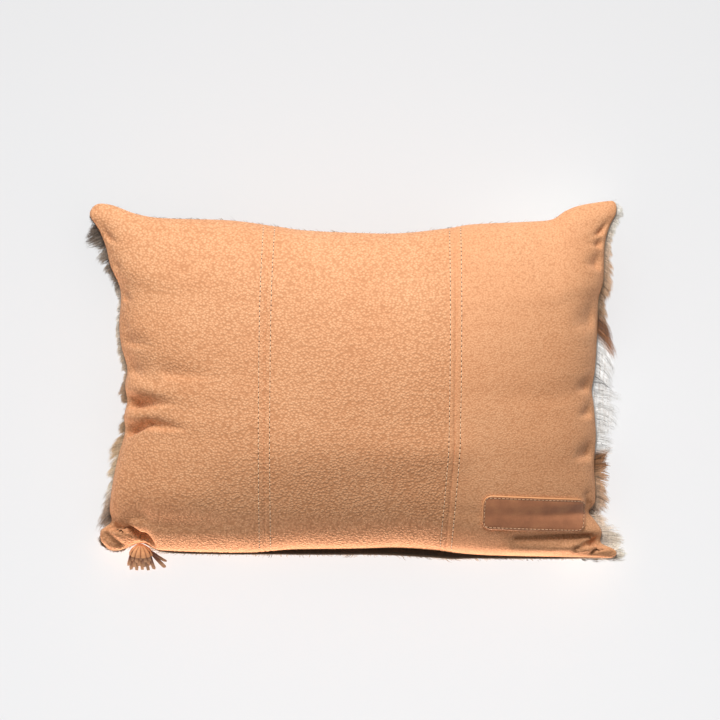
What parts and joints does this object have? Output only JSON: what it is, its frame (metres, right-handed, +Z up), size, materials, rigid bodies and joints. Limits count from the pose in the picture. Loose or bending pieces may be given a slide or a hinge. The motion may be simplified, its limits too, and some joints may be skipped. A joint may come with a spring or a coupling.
{
  "type": "springbok hide cushion cover on a filled cushion",
  "caption": "Filled lumbar cushion with a panelled leather face, a springbok hide back, a stitched leather patch and a small leather tassel.",
  "frame": {"origin": "on the surface that the cushion lies on, under the middle of the cover, at the pressed flat of the hide back", "axes": "+X along the long side, from the tassel's end to the patch's end; +Y from the edge with the tassel to the other long edge; +Z up, out of the leather face"},
  "size_m": [0.6129, 0.4275, 0.1441],
  "materials": {
    "tan_leather": "grained nubuck, matte, tan",
    "springbok_hair": "hair-on hide, cream to fawn with dark brown and white bands",
    "patch_leather": "smooth brown hide, satin, cream thread at its edge",
    "tassel_leather": "tan nubuck cut in strips, matte"
  },
  "bodies": {
    "root": {"filled_leather_cover": "tan_leather", "springbok_hide_back": "springbok_hair", "leather_patch": "patch_leather", "pull_tassel": "tassel_leather"}
  },
  "joints": []
}
